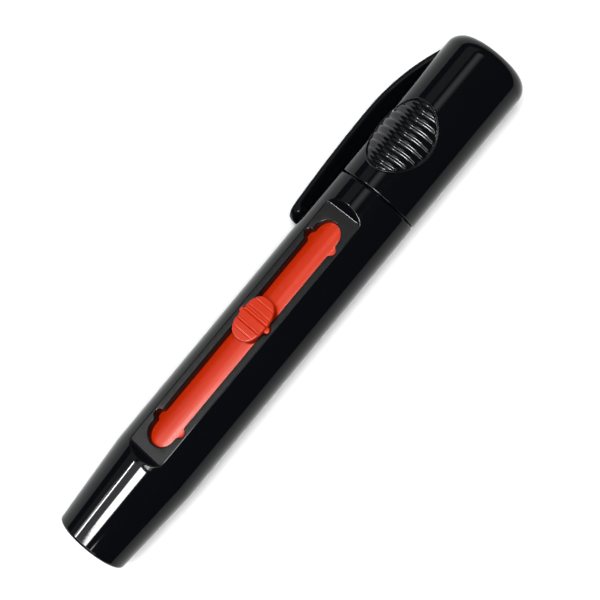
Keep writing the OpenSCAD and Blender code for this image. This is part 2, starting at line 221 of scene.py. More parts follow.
# ---------------------------------------------------------------------------
# Mesh tools
# ---------------------------------------------------------------------------


class Skin:
    """Vertices and faces of one piece while it is being made, in pen coordinates."""

    def __init__(self):
        self.points = []
        self.faces = []
        self.slots = []

    def add_points(self, points):
        """Adds points and gives their numbers."""
        first = len(self.points)
        self.points.extend([float(a) for a in p] for p in points)
        return list(range(first, first + len(points)))

    def add_faces(self, faces, slot=0):
        self.faces.extend(faces)
        self.slots.extend([slot] * len(faces))

    def bridge(self, ring_a, ring_b, closed=True, slot=0):
        """Quads between two rings of equal length."""
        n = len(ring_a)
        last = n if closed else n - 1
        self.add_faces(
            [(ring_a[k], ring_a[(k + 1) % n], ring_b[(k + 1) % n], ring_b[k]) for k in range(last)], slot)

    def cap(self, ring):
        self.add_faces([tuple(ring)])

    def grow(self, ring, points):
        """Quads from a ring to new points, which are the next ring."""
        grown = self.add_points(points)
        self.bridge(ring, grown)
        return grown

    def tube(self, rings):
        """A tube through rings of points, closed at both ends."""
        last = self.add_points(rings[0])
        self.cap(last)
        for points in rings[1:]:
            last = self.grow(last, points)
        self.cap(last)


def arc(cx, cy, radius, start, end, steps):
    """Points on an arc, with angles in degrees."""
    return [
        (cx + radius * math.cos(math.radians(start + (end - start) * k / steps)),
         cy + radius * math.sin(math.radians(start + (end - start) * k / steps)))
        for k in range(steps + 1)]


def rounded(corners, steps=5):
    """A closed outline from (x, y, radius) corners, with each corner rounded by an arc."""
    out = []
    n = len(corners)
    for k, (x, y, radius) in enumerate(corners):
        if radius <= 0:
            out.append((x, y))
            continue
        here = Vector((x, y))
        back = (Vector(corners[k - 1][:2]) - here).normalized()
        ahead = (Vector(corners[(k + 1) % n][:2]) - here).normalized()
        half = math.acos(max(-1.0, min(1.0, back.dot(ahead)))) / 2
        if half > math.radians(89):
            out.append((x, y))
            continue
        reach = radius / math.tan(half)
        centre = here + (back + ahead).normalized() * (radius / math.sin(half))
        first, last = here + back * reach - centre, here + ahead * reach - centre
        sweep = first.angle_signed(last)
        for i in range(steps + 1):
            turn = -sweep * i / steps
            c, s = math.cos(turn), math.sin(turn)
            p = centre + Vector((first.x * c - first.y * s, first.x * s + first.y * c))
            out.append((p.x, p.y))
    return out


def turned(outline, count):
    """Turns a closed outline of (station, radius) about the pen's axis."""
    skin = Skin()
    rings = []
    for x, r in outline:
        if r < 1e-6:
            rings.append(skin.add_points([(x, 0, 0)]) * count)
            continue
        rings.append(skin.add_points([
            (x, r * math.sin(2 * math.pi * k / count), r * math.cos(2 * math.pi * k / count))
            for k in range(count)]))
    for a, b in zip(rings, rings[1:] + rings[:1]):
        if a[0] == a[1] and b[0] == b[1]:
            continue
        for k in range(count):
            face = [a[k], a[(k + 1) % count], b[(k + 1) % count], b[k]]
            clean = [v for i, v in enumerate(face) if v != face[i - 1]]
            skin.add_faces([tuple(clean)])
    return skin


def lathe(p, corners, steps=5):
    """Turns a closed outline of (station, radius, rounding) corners about the pen's axis."""
    return turned(rounded(corners, steps), p.round_steps)


def finished(name, skin, roll, body, replaces, slot, second=None, sharp=50.0):
    """Makes the Blender object: closed, facing outwards, smooth, weighted, and riding on its body.

    slot names its finish, and second is the finish of its faces in slot 1.
    """
    mesh = bpy.data.meshes.new(name)
    mesh.from_pydata([tuple(p) for p in place(skin.points, roll)], [], skin.faces)
    mesh.polygons.foreach_set("material_index", skin.slots)
    bm = bmesh.new()
    bm.from_mesh(mesh)
    bmesh.ops.remove_doubles(bm, verts=bm.verts, dist=SAME_PLACE)
    bmesh.ops.delete(bm, geom=[v for v in bm.verts if not v.link_faces], context="VERTS")
    bmesh.ops.recalc_face_normals(bm, faces=bm.faces)
    for face in bm.faces:
        face.smooth = True
    for edge in bm.edges:
        if edge.is_manifold and edge.calc_face_angle() > math.radians(sharp):
            edge.smooth = False
    bm.to_mesh(mesh)
    bm.free()
    mesh.materials.append(finish_named(slot))
    if second:
        mesh.materials.append(finish_named(second))
    obj = bpy.data.objects.new(name, mesh)
    bpy.context.scene.collection.objects.link(obj)
    obj.modifiers.new("weighted_normals", "WEIGHTED_NORMAL").keep_sharp = True
    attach(obj, body)
    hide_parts(*replaces)
    return obj


def smooth_min(a, b, k):
    """Lower of two heights, with the crease between them rounded over k."""
    h = max(k - abs(a - b), 0.0)
    return min(a, b) - h * h / (4 * k)


def smooth_step(low, high, x):
    """0 below low, 1 above high, and a smooth rise between them."""
    t = max(0.0, min(1.0, (x - low) / (high - low)))
    return t * t * (3 - 2 * t)


def spaced(stops):
    """Values along a line from (start, step) stops; the last stop's value ends the line."""
    out = []
    for (a, step), (b, _) in zip(stops, stops[1:]):
        n = max(1, round((b - a) / step))
        out.extend(a + (b - a) * k / n for k in range(n))
    out.append(stops[-1][0])
    return out


# ---------------------------------------------------------------------------
# Finishes
# ---------------------------------------------------------------------------


def group_of(name, inputs, outputs):
    """An empty shader node group with named float inputs and outputs."""
    g = bpy.data.node_groups.new(name, "ShaderNodeTree")
    for label, value in inputs:
        s = g.interface.new_socket(label, in_out="INPUT", socket_type="NodeSocketFloat")
        s.default_value = value
    for label in outputs:
        g.interface.new_socket(label, in_out="OUTPUT", socket_type="NodeSocketFloat")
    return g, g.nodes.new("NodeGroupInput"), g.nodes.new("NodeGroupOutput")


def math_node(tree, operation, a, b=None, clamp=False):
    node = tree.nodes.new("ShaderNodeMath")
    node.operation = operation
    node.use_clamp = clamp
    for i, v in enumerate((a, b)):
        if v is None:
            continue
        if isinstance(v, (int, float)):
            node.inputs[i].default_value = v
        else:
            tree.links.new(v, node.inputs[i])
    return node.outputs[0]


def position(tree):
    return tree.nodes.new("ShaderNodeTexCoord").outputs["Object"]


def noise_at(tree, scale, detail=2.0, rough=0.5, stretch=None):
    """Noise over the surface. scale is a value or a socket, and stretch is a scale for each axis."""
    where = position(tree)
    if stretch:
        mapping = tree.nodes.new("ShaderNodeMapping")
        mapping.inputs["Scale"].default_value = stretch
        tree.links.new(where, mapping.inputs["Vector"])
        where = mapping.outputs[0]
    node = tree.nodes.new("ShaderNodeTexNoise")
    tree.links.new(where, node.inputs["Vector"])
    node.inputs["Detail"].default_value = detail
    node.inputs["Roughness"].default_value = rough
    if isinstance(scale, (int, float)):
        node.inputs["Scale"].default_value = scale
    else:
        tree.links.new(scale, node.inputs["Scale"])
    return node.outputs["Fac"]


def build_groups():
    """Shared effects: fine moulding grain, handling marks, and a soft nap."""
    g, gin, gout = group_of("moulding_grain", [("Scale", 9000.0)], ["Height", "Shade"])
    g.links.new(noise_at(g, gin.outputs["Scale"], 3.0, 0.6), gout.inputs["Height"])
    g.links.new(noise_at(g, 160.0), gout.inputs["Shade"])

    g, gin, gout = group_of("handling_marks", [("Amount", 0.1), ("Base", 0.1)], ["Roughness"])
    hair = noise_at(g, 900.0, 4.0, 0.65, (1.0, 9.0, 9.0))
    smear = noise_at(g, 110.0, 3.0, 0.55)
    lines = math_node(g, "MULTIPLY", math_node(g, "SUBTRACT", hair, 0.55, True), 2.2)
    both = math_node(g, "ADD", lines, math_node(g, "MULTIPLY", smear, 0.5))
    g.links.new(
        math_node(g, "ADD", gin.outputs["Base"], math_node(g, "MULTIPLY", both, gin.outputs["Amount"]), True),
        gout.inputs["Roughness"])

    g, gin, gout = group_of("soft_nap", [("Scale", 3500.0)], ["Height", "Shade"])
    fuzz = noise_at(g, gin.outputs["Scale"], 6.0, 0.75)
    clump = noise_at(g, 700.0, 3.0, 0.6)
    g.links.new(math_node(g, "ADD", fuzz, math_node(g, "MULTIPLY", clump, 0.7)), gout.inputs["Height"])
    g.links.new(clump, gout.inputs["Shade"])


def use_group(tree, name, **values):
    node = tree.nodes.new("ShaderNodeGroup")
    node.node_tree = bpy.data.node_groups[name]
    for label, value in values.items():
        node.inputs[label].default_value = value
    return node.outputs


def new_finish(name, roughness, ior=1.5, metallic=0.0):
    """A material with its Principled shader, ready for colour, grain and marks."""
    m = bpy.data.materials.new("pen_" + name)
    m.use_nodes = True
    shader = m.node_tree.nodes["Principled BSDF"]
    shader.inputs["Roughness"].default_value = roughness
    shader.inputs["IOR"].default_value = ior
    shader.inputs["Metallic"].default_value = metallic
    return m, m.node_tree, shader


def shade_between(tree, shader, mask, dark, light):
    """Base colour that drifts between two close shades."""
    mix = tree.nodes.new("ShaderNodeMix")
    mix.data_type = "RGBA"
    mix.inputs["A"].default_value = (*dark, 1)
    mix.inputs["B"].default_value = (*light, 1)
    tree.links.new(mask, mix.inputs["Factor"])
    tree.links.new(mix.outputs["Result"], shader.inputs["Base Color"])


def bump_from(tree, shader, height, distance):
    """Fine relief from a height. distance is in metres."""
    bump = tree.nodes.new("ShaderNodeBump")
    bump.inputs["Distance"].default_value = distance
    tree.links.new(height, bump.inputs["Height"])
    tree.links.new(bump.outputs[0], shader.inputs["Normal"])


def tint(base, share):
    return tuple(min(1.0, v * share) for v in base)


def drift(tree, shader, mask, base, spread):
    """Base colour that drifts by spread to either side."""
    shade_between(tree, shader, mask, tint(base, 1 - spread), tint(base, 1 + spread))


def wear(tree, shader, marks, roughness):
    """Handling marks in the gloss."""
    worn = use_group(tree, "handling_marks", Amount=marks, Base=roughness)
    tree.links.new(worn["Roughness"], shader.inputs["Roughness"])


def moulded(name, base, roughness, marks, grain_scale, grain_depth, spread=0.12, ior=1.5):
    """Moulded plastic: close colour drift, fine grain and handling marks in the gloss."""
    m, tree, shader = new_finish(name, roughness, ior)
    grain = use_group(tree, "moulding_grain", Scale=grain_scale)
    drift(tree, shader, grain["Shade"], base, spread)
    wear(tree, shader, marks, roughness)
    bump_from(tree, shader, grain["Height"], grain_depth)
    return m


def napped(name, base, roughness, scale, depth, sheen=0.3):
    """Felt, foam, chamois or carbon: a fuzzy surface with clumped shade."""
    _, tree, shader = new_finish(name, roughness)
    nap = use_group(tree, "soft_nap", Scale=scale)
    drift(tree, shader, nap["Shade"], base, 0.35)
    shader.inputs["Sheen Weight"].default_value = sheen
    shader.inputs["Sheen Roughness"].default_value = 0.5
    bump_from(tree, shader, nap["Height"], depth)


def build_finishes():
    """Every finish. Colours, roughness, marks, grain scale and grain depth in metres."""
    c = bpy.context.scene.pen_colours
    moulded("gloss_black", c.black, 0.05, 0.06, 1500.0, 0.0000012, ior=1.36)
    moulded("satin_flat", c.flat, 0.34, 0.12, 14000.0, 0.00001, 0.2, ior=1.4)
    moulded("grip_black", c.black, 0.1, 0.08, 5000.0, 0.000002)
    moulded("inner_plastic", c.inner, 0.45, 0.15, 9000.0, 0.00001)
    moulded("ring_rubber", c.rubber, 0.55, 0.15, 12000.0, 0.00001)

    m = moulded("red_plastic", c.red, 0.22, 0.10, 4000.0, 0.000004, 0.06)
    shader = m.node_tree.nodes["Principled BSDF"]
    shader.inputs["Subsurface Weight"].default_value = 0.15
    shader.inputs["Subsurface Radius"].default_value = (0.0012, 0.0003, 0.00015)
    shader.inputs["Subsurface Scale"].default_value = 1.0

    _, tree, shader = new_finish("ferrule_metal", 0.28, metallic=1.0)
    brushed = noise_at(tree, 4000.0, 2.0, 0.6, (1.0, 0.06, 0.06))
    shade_between(tree, shader, brushed, tint(c.metal, 0.88), tint(c.metal, 1.05))
    wear(tree, shader, 0.15, 0.2)
    bump_from(tree, shader, brushed, 0.000004)

    _, tree, shader = new_finish("resin", 0.15)
    shade_between(tree, shader, noise_at(tree, 300.0), (0.45, 0.28, 0.1), (0.6, 0.42, 0.2))

    _, tree, shader = new_finish("hair", 0.38)
    strands = noise_at(tree, 2500.0, 3.0, 0.6, (0.1, 1, 1))
    shade_between(tree, shader, strands, tint(c.hair, 0.5), tint(c.hair, 1.6))
    shader.inputs["Sheen Weight"].default_value = 0.2
    bump_from(tree, shader, noise_at(tree, 9000.0, 2.0, 0.5, (1, 0.2, 0.2)), 0.000005)

    napped("foam", (0.05, 0.05, 0.055), 0.95, 2600.0, 0.00012)
    napped("chamois", c.chamois, 0.85, 3500.0, 0.00006, 0.45)
    napped("felt", (0.03, 0.03, 0.03), 0.95, 3000.0, 0.0001)
    napped("carbon", (0.008, 0.008, 0.008), 0.9, 6000.0, 0.00003, 0.0)

    _, tree, shader = new_finish("studio_floor", 0.6)
    drift(tree, shader, noise_at(tree, 6.0), c.floor, 0.02)


def finish_named(name):
    return bpy.data.materials["pen_" + name]


def refinish(node, name):
    """Gives a finish to a CAD node that is seen as it is."""
    materials = frame["nodes"][node].data.materials
    materials.clear()
    materials.append(finish_named(name))


# ---------------------------------------------------------------------------
# Barrel
# ---------------------------------------------------------------------------


def stop_stations():
    """Where the button stops: in the middle, and at both ends of the brush slide."""
    joint = next(j for j in frame["joints"] if j["name"] == "brush_slide")
    lo, hi = node_span("thumb_button")
    return [(lo + hi) / 2 + q / MM for q in (joint["range_m"][0], 0.0, joint["range_m"][1])]


def slot_outline(p):
    """Closed outline of the thumb slot with its notches, anticlockwise in (x, y)."""
    r = p.slot_width / 2
    notch = p.notch_radius
    front, rear = p.slot_start + r, p.slot_end - r
    upper = []
    for stop in reversed(stop_stations()):
        upper.extend(arc(stop, r, notch, 0, 180, 16))
    upper = [(rear, r)] + upper
    left = arc(front, 0, r, 90, 270, 28)
    lower = [(x, -y) for x, y in reversed(upper)]
    right = arc(rear, 0, r, -90, 90, 28)
    return upper + left + lower + right[1:-1]


SOFTENING = 8


def even_loop(loop, step):
    """The same closed outline with evenly spaced points and softened corners."""
    pts = np.array(loop + loop[:1], float)
    along = np.concatenate([[0], np.cumsum(np.hypot(*np.diff(pts, axis=0).T))])
    n = int(along[-1] / step)
    t = np.arange(n) * along[-1] / n
    even = np.stack([np.interp(t, along, pts[:, 0]), np.interp(t, along, pts[:, 1])], 1)
    for _ in range(SOFTENING):
        even = even * 0.5 + (np.roll(even, 1, 0) + np.roll(even, -1, 0)) * 0.25
    return even


def outward(loop):
    """Unit normals of an anticlockwise loop, pointing out of it."""
    t = np.roll(loop, -1, 0) - np.roll(loop, 1, 0)
    n = np.stack([t[:, 1], -t[:, 0]], 1)
    return n / np.linalg.norm(n, axis=1)[:, None]


def inside_test(loop):
    """A test for points inside a closed outline."""
    xs, ys = loop[:, 0], loop[:, 1]
    xn, yn = np.roll(xs, -1), np.roll(ys, -1)

    def test(x, y):
        crosses = (ys > y) != (yn > y)
        with np.errstate(divide="ignore", invalid="ignore"):
            at = xs + (y - ys) * (xn - xs) / (yn - ys)
        return bool(np.count_nonzero(crosses & (x < at)) % 2)

    return test


def fill_between(skin, outer, inner, slot=0):
    """Triangles between two loops of point numbers, seen from above the slot."""
    numbers = outer + inner
    where = [Vector(skin.points[v][:2]) for v in numbers]
    n, m = len(outer), len(inner)
    edges = [(k, (k + 1) % n) for k in range(n)] + [(n + k, n + (k + 1) % m) for k in range(m)]
    coords, _, faces, origins, _, _ = geometry.delaunay_2d_cdt(where, edges, [], 0, 1e-9)
    in_hole = inside_test(np.array([skin.points[v][:2] for v in inner]))
    for face in faces:
        x = sum(coords[i].x for i in face) / len(face)
        y = sum(coords[i].y for i in face) / len(face)
        if not in_hole(x, y):
            skin.add_faces([tuple(numbers[origins[i][0]] for i in face)], slot)


def barrel_outline(p):
    """Outline of the barrel as (station, radius): out along the outside, back along the bore."""
    ring_lo, ring_hi, ring_r = node_size("cap_o_ring")
    gap = 0.04
    groove_r = ring_r - (ring_hi - ring_lo) - gap
    seat_x = node_span("tip_base")[0]
    seam = CAP_START - p.seam_gap
    return rounded([
        (0, p.bore_radius, 0.15), (0, p.nose_radius, p.nose_round), (p.nose_length, BODY_R, 14.0),
        (seam, BODY_R, p.seam_round), (seam, p.neck_radius, 0.12),
        (ring_lo - gap, p.neck_radius, 0.1), (ring_lo - gap, groove_r, 0.1),
        (ring_hi + gap, groove_r, 0.1), (ring_hi + gap, p.neck_radius, 0.1),
        (NECK_END, p.neck_radius, 0.4), (NECK_END, p.seat_radius, 0.1),
        (seat_x, p.seat_radius, 0.0), (seat_x, p.bore_radius, 0.0)], 6)


def beyond_floor(p, x, y):
    """How far a place on the flat lies outside its floor, which has rounded corners."""
    r = p.flat_corner
    across = abs(y) - math.sqrt(BODY_R ** 2 - p.flat_height ** 2) + r
    along = max(p.flat_start - x, x - p.flat_end) + r
    if across > 0 and along > 0:
        return max(math.hypot(across, along) - r, 0.0)
    return max(along - r, 0.0)


def flat_height_at(p, x, y):
    """Height of the flat's surface, with the ramps round its ends and a small fillet at their foot."""
    far = beyond_floor(p, x, y)
    foot = p.ramp_foot
    rise = far - foot / 2 if far > foot else far * far / (2 * foot)
    return p.flat_height + (BODY_R - p.flat_height) * rise / (p.ramp - foot / 2)


def barrel_columns(p):
    """Angles round the barrel: close together on the flat, and closest at its edges."""
    half = math.degrees(math.acos(p.flat_height / BODY_R))
    side = spaced([(0, 1.0), (half - 3, 0.5), (half - 1.2, 0.22), (half + 1.2, 0.5), (half + 4, 1.6), (180, 1)])
    return [math.radians(a) for a in [-a for a in reversed(side[1:])] + side[:-1]]


# The windows that the slot is let into: room past its ends, and reach to each side of the middle
FLAT_MARGIN, BORE_MARGIN = 0.4, 0.6
FLAT_REACH, BORE_REACH = 3.93, 4.3
LONG_STRETCH = 40.0


def barrel_rows(p):
    """The barrel's outline, with its long straight stretches cut into steps that suit the flat and slot."""
    ramp_from, ramp_to = p.flat_start - p.ramp - 0.1, p.flat_end + p.ramp + 0.2
    outer = spaced([
        (ramp_from, 0.1), (p.flat_start - 0.6, 0.05), (p.flat_start + 0.1, 0.6),
        (p.slot_start - FLAT_MARGIN, 2.2), (p.slot_end + FLAT_MARGIN, 0.5),
        (p.flat_end - 0.1, 0.05), (p.flat_end + 0.6, 0.1), (ramp_to, 1.0), (CAP_START - 1.0, 1)])
    over_slot = spaced([(p.slot_end + BORE_MARGIN, 2.2), (p.slot_start - BORE_MARGIN, 1)])
    bore = [90.0, 80.0] + over_slot + [14.0, 6.0, 1.0]
    rows = []
    outline = barrel_outline(p)
    for (x, r), (nx, _) in zip(outline, outline[1:] + outline[:1]):
        rows.append((x, r))
        if nx - x > LONG_STRETCH:
            rows.extend((b, BODY_R) for b in outer)
        if x - nx > LONG_STRETCH:
            rows.extend((b, p.bore_radius) for b in bore)
    return rows


def window_border(rings, rows, cols, skin):
    """Border of a window in a grid of rings, which is where the slot is let in."""
    cols = sorted(cols, key=lambda k: skin.points[rings[rows[0]][k]][1])
    left, right = cols[0], cols[-1]
    border = [rings[rows[0]][k] for k in cols]
    border += [rings[i][right] for i in rows[1:]]
    border += [rings[rows[-1]][k] for k in reversed(cols[:-1])]
    border += [rings[i][left] for i in reversed(rows[1:-1])]
    return border


def barrel_skin(p):
    """A turned shell with a milled flat, and a slot with rounded edges and notches."""
    skin = Skin()
    columns = barrel_columns(p)
    rows = barrel_rows(p)
    crease = 0.1
    rings = []
    for x, r in rows:
        ring = []
        for a in columns:
            y, z = r * math.sin(a), r * math.cos(a)
            if r > p.neck_radius + 0.05 and z > 0:
                z = smooth_min(z, flat_height_at(p, x, y), crease)
            ring.append((x, y, z))
        rings.append(skin.add_points(ring))

    def window(radius, reach, margin):
        """Rows and columns of the grid that a window round the slot covers at this radius."""
        x0, x1 = p.slot_start - margin - 0.01, p.slot_end + margin + 0.01
        rows_in = [i for i, (x, r) in enumerate(rows) if abs(r - radius) < 1e-6 and x0 <= x <= x1]
        cols_in = [k for k, a in enumerate(columns) if abs(radius * math.sin(a)) <= reach and math.cos(a) > 0]
        return rows_in, cols_in

    outer = window(BODY_R, FLAT_REACH, FLAT_MARGIN)
    bore = window(p.bore_radius, BORE_REACH, BORE_MARGIN)
    for i in range(len(rows)):
        j = (i + 1) % len(rows)
        for k in range(len(columns)):
            m = (k + 1) % len(columns)
            if any(i in w[0] and j in w[0] and k in w[1] and m in w[1] for w in (outer, bore)):
                continue
            quad = (rings[i][k], rings[i][m], rings[j][m], rings[j][k])
            mid = np.mean([skin.points[v] for v in quad], 0)
            lowered = math.hypot(mid[1], mid[2]) < BODY_R - 0.04
            on_flat = lowered and mid[2] > p.flat_height - 0.1 and beyond_floor(p, mid[0], mid[1]) < 0.02
            on_flat = on_flat and rows[i][1] > BODY_R - 0.01
            skin.add_faces([quad], int(on_flat))

    loop = even_loop(slot_outline(p), 0.13)
    normals = outward(loop)
    f = p.slot_round
    wall = []
    turns = 5
    for s in range(turns + 1):
        t = math.pi / 2 * s / turns
        ring = loop + normals * (f * (1 - math.sin(t)))
        wall.append(skin.add_points([(x, y, p.flat_height - f * (1 - math.cos(t))) for x, y in ring]))
    for share in (0.5, 1.0):
        wall.append(skin.add_points([
            (x, y, (p.flat_height - f) * (1 - share) + math.sqrt(p.bore_radius ** 2 - y * y) * share)
            for x, y in loop]))
    for k, (a, b) in enumerate(zip(wall, wall[1:])):
        skin.bridge(a, b, slot=int(k >= turns))
    fill_between(skin, window_border(rings, *outer, skin), wall[0], 1)
    fill_between(skin, window_border(rings, *bore, skin), wall[-1], 0)
    return skin


class PEN_OT_barrel(bpy.types.Operator):
    """Build the barrel with its flat, slot, notches and hollow neck"""

    bl_idname = "lens_pen.barrel"
    bl_label = "Barrel"

    def execute(self, context):
        p = context.scene.pen_sizes
        finished("barrel", barrel_skin(p), SLOT_ROLL, "barrel", ["barrel_shell"], "gloss_black", "satin_flat")
        return {"FINISHED"}


# ---------------------------------------------------------------------------
# Brush: carriage, button, ferrule and hair
# ---------------------------------------------------------------------------


def carriage_skin(p):
    """Red tube with softened ends and a stepped hollow."""
    start, end, r = node_size("brush_carriage")
    _, socket_end, socket_r = node_size("brush_ferrule")
    inner = r - p.carriage_wall
    web = 1.2
    return lathe(p, [
        (start, socket_r, 0.1), (start, r, 0.35), (end, r, 0.35), (end, inner, 0.2),
        (socket_end + web, inner, 0.2), (socket_end + web, 0, 0), (socket_end, 0, 0),
        (socket_end, socket_r, 0.1)])


# Place, width and depth of each groove across the button
GROOVES = ((-2.9, 0.4, 0.07), (-1.35, 0.6, 0.32), (0.67, 0.8, 0.42), (1.62, 0.4, 0.14), (3.1, 0.4, 0.06))


def button_height(x, y, a, b, n, edge_round, top):
    """Height of the button's top: crowned, grooved across, and rounded at its edge."""
    crown_along, crown_across = 0.10, 0.06
    z = top - crown_along * (x / a) ** 2 - crown_across * (y / b) ** 2
    for at, width, depth in GROOVES:
        u = abs(x - at) / (width / 2)
        if u < 1:
            z -= depth * (1 - u ** 4) ** 2
    rho = (abs(x / a) ** n + abs(y / b) ** n) ** (1 / n)
    if rho < 0.3:
        return z
    slope = math.hypot(abs(x / a) ** (n - 1) / a, abs(y / b) ** (n - 1) / b) * rho ** (1 - n)
    edge = max(0.0, (1 - rho) / slope)
    if edge < edge_round:
        z -= edge_round - math.sqrt(max(0.0, edge_round ** 2 - (edge_round - edge) ** 2))
    return z


def border_of(columns):
    """Closed border of a grid that is made of columns of point numbers."""
    return columns[0][::-1] + [c[0] for c in columns[1:-1]] + columns[-1] + [c[-1] for c in columns[-2:0:-1]]


def button_skin(p):
    """Full oval head on a flared neck, with a low detent ear on each side."""
    skin = Skin()
    lo, hi = node_span("thumb_button")
    centre, a = (lo + hi) / 2, (hi - lo) / 2
    b, n = p.slot_width / 2 + p.button_lip, p.button_fullness
    top = BODY_R + p.button_proud
    across = [math.sin(math.pi / 2 * k / 18) for k in range(-18, 19)]
    stations = [a * 0.9998 * math.sin(math.pi / 2 * k / 110) for k in range(-110, 111)]
    columns = []
    for x in stations:
        half = b * (1 - abs(x / a) ** n) ** (1 / n)
        columns.append(skin.add_points([
            (centre + x, v * half, button_height(x, v * half, a, b, n, p.button_round, top)) for v in across]))
    for left, right in zip(columns, columns[1:]):
        skin.bridge(left, right, closed=False)
    rim = border_of(columns)
    edge = [((skin.points[v][0] - centre) / a, skin.points[v][1] / b) for v in rim]
    under = p.flat_height + 0.1
    carriage = node_radius("brush_carriage") - 0.05
    neck_a, neck_b = a - 0.4, p.slot_width / 2 - 0.15
    last = rim
    for inset, lift in ((0.0, 0.35), (0.02, 0.12), (0.08, 0.03), (0.18, 0.0)):
        last = skin.grow(last, [(centre + (a - inset) * u, (b - inset) * v, under + lift) for u, v in edge])
    for grow, lift in ((0.0, 1.0), (0.0, 0.55), (0.03, 0.34), (0.06, 0.12), (0.09, 0.0)):
        ring = []
        for u, v in edge:
            y = (neck_b + grow) * v
            floor = math.sqrt(carriage ** 2 - y * y)
            ring.append((centre + (neck_a + 3 * grow) * u, y, floor + (under - floor) * lift))
        last = skin.grow(last, ring)
    skin.cap(last)
    turns = [2 * math.pi * k / 28 for k in range(28)]
    for side in (-1, 1):
        out = side * (p.slot_width / 2 + 0.3)
        rings = []
        for share, lift in ((1.0, 0.0), (1.0, 0.1), (0.88, 0.19), (0.6, 0.235), (0.2, 0.245)):
            r = p.ear_radius * share
            rings.append([(centre + r * math.cos(t), out + r * math.sin(t), under + lift) for t in turns])
        skin.tube(rings)
    return skin


def ferrule_skin(p):
    """Thin metal tube with a rolled front edge and two crimped rings."""
    start, end, r = node_size("brush_ferrule")
    inner = r - p.ferrule_wall
    outside = [(start, r, 0.15)]
    for at in (start + 0.9, start + 1.75):
        outside += [(at - 0.25, r, 0.15), (at, r - 0.16, 0.12), (at + 0.25, r, 0.15)]
    return lathe(p, [(start, inner, 0.15)] + outside + [(end, r, 0), (end, inner, 0)], 4)


HAIR_SIDES = (0.0, 2.094, 4.189)


def hair_skin(p):
    """Every hair is a thin tapered tube that flares out of the ferrule and bends a little."""
    skin = Skin()
    rng = random.Random(7)
    tip, root, bundle = node_size("brush_bristles")
    mouth, _, ferrule = node_size("brush_ferrule")
    packed = ferrule - p.ferrule_wall - 0.1
    spread = bundle - 0.08
    golden = math.pi * (3 - math.sqrt(5))
    for k in range(p.hair_count):
        share = math.sqrt((k + 0.5) / p.hair_count)
        angle = k * golden
        wide = share * (1 + rng.uniform(-0.03, 0.03))
        end = tip + 3.2 * share ** 2.6 + rng.uniform(0.0, 0.9)
        bend = rng.uniform(0.0, 0.25)
        bend_at = rng.uniform(0, 2 * math.pi)
        thick = rng.uniform(0.055, 0.085)
        free = [(mouth - (mouth - end) * t, t) for t in (0.2, 0.45, 0.7, 0.88, 1.0)]
        rings = []
        for x, t in [(root, 0.0), (mouth + 0.3, 0.0)] + free:
            flare = packed + (spread - packed) * (1 - (1 - t) ** 2)
            if t > 0.75:
                flare -= (t - 0.75) * 2.4
            r = min(wide, 1.0) * flare
            y = r * math.sin(angle) + bend * t * t * math.sin(bend_at)
            z = r * math.cos(angle) + bend * t * t * math.cos(bend_at)
            outside = math.hypot(y, z) / spread
            if outside > 1:
                y, z = y / outside, z / outside
            size = thick * (1 - 0.75 * t ** 3)
            rings.append([(x, y + size * math.sin(u), z + size * math.cos(u)) for u in HAIR_SIDES])
        skin.tube(rings)
    return skin


class PEN_OT_brush(bpy.types.Operator):
    """Build the brush carriage, the thumb button, the ferrule and the hair"""

    bl_idname = "lens_pen.brush"
    bl_label = "Brush"

    def execute(self, context):
        p = context.scene.pen_sizes
        finished("carriage", carriage_skin(p), SLOT_ROLL, "brush", ["brush_carriage"], "red_plastic")
        finished("button", button_skin(p), SLOT_ROLL, "brush", ["thumb_button"], "red_plastic")
        finished("ferrule", ferrule_skin(p), SLOT_ROLL, "brush", ["brush_ferrule"], "ferrule_metal")
        finished("brush_hair", hair_skin(p), SLOT_ROLL, "brush", ["brush_bristles"], "hair", sharp=180)
        refinish("hair_binder", "resin")
        return {"FINISHED"}


# ---------------------------------------------------------------------------
# Carbon tip, and the ring on the neck
# ---------------------------------------------------------------------------


def ring_skin(p):
    """Round rubber ring with a faint parting line."""
    lo, hi, ring_r = node_size("cap_o_ring")
    tube = (hi - lo) / 2
    middle = ring_r - tube
    outline = []
    for k in range(28):
        t = 2 * math.pi * k / 28
        r = tube * (0.985 if k % 14 else 1.0)
        outline.append(((lo + hi) / 2 + r * math.cos(t), middle + r * math.sin(t)))
    return turned(outline, p.round_steps)


def tip_base_skin(p):
    """Plug in the neck's end, with a flange and a collar round the stem."""
    start, end, flange = node_size("tip_base")
    stem = node_radius("tip_stem")
    return lathe(p, [
        (start, 0, 0), (start, p.seat_radius, 0.2), (NECK_END, p.seat_radius, 0), (NECK_END, flange, 0.15),
        (end, flange, 0.35), (end, stem + 0.9, 0.2), (end + 0.25, stem + 0.6, 0.12), (end + 0.25, stem, 0.1),
        (start + 1, stem, 0), (start + 1, 0, 0)])


def stem_skin(p):
    """Rubber stem, waisted between the flange and the backing disc."""
    start, end, r = node_size("tip_stem")
    bottom, top = node_span("tip_base")[1], node_span("tip_backing")[0]
    waist = [(bottom + (top - bottom) * k / 8, r - 0.35 * math.sin(math.pi * k / 8)) for k in range(9)]
    return turned([(start, 0), (start, r)] + waist + [(end, r), (end, 0)], p.round_steps)


def disc_skin(p, node, edge):
    """A round layer with softened edges."""
    start, end, r = node_size(node)
    return lathe(p, [(start, 0, 0), (start, r, edge), (end, r, edge), (end, 0, 0)])


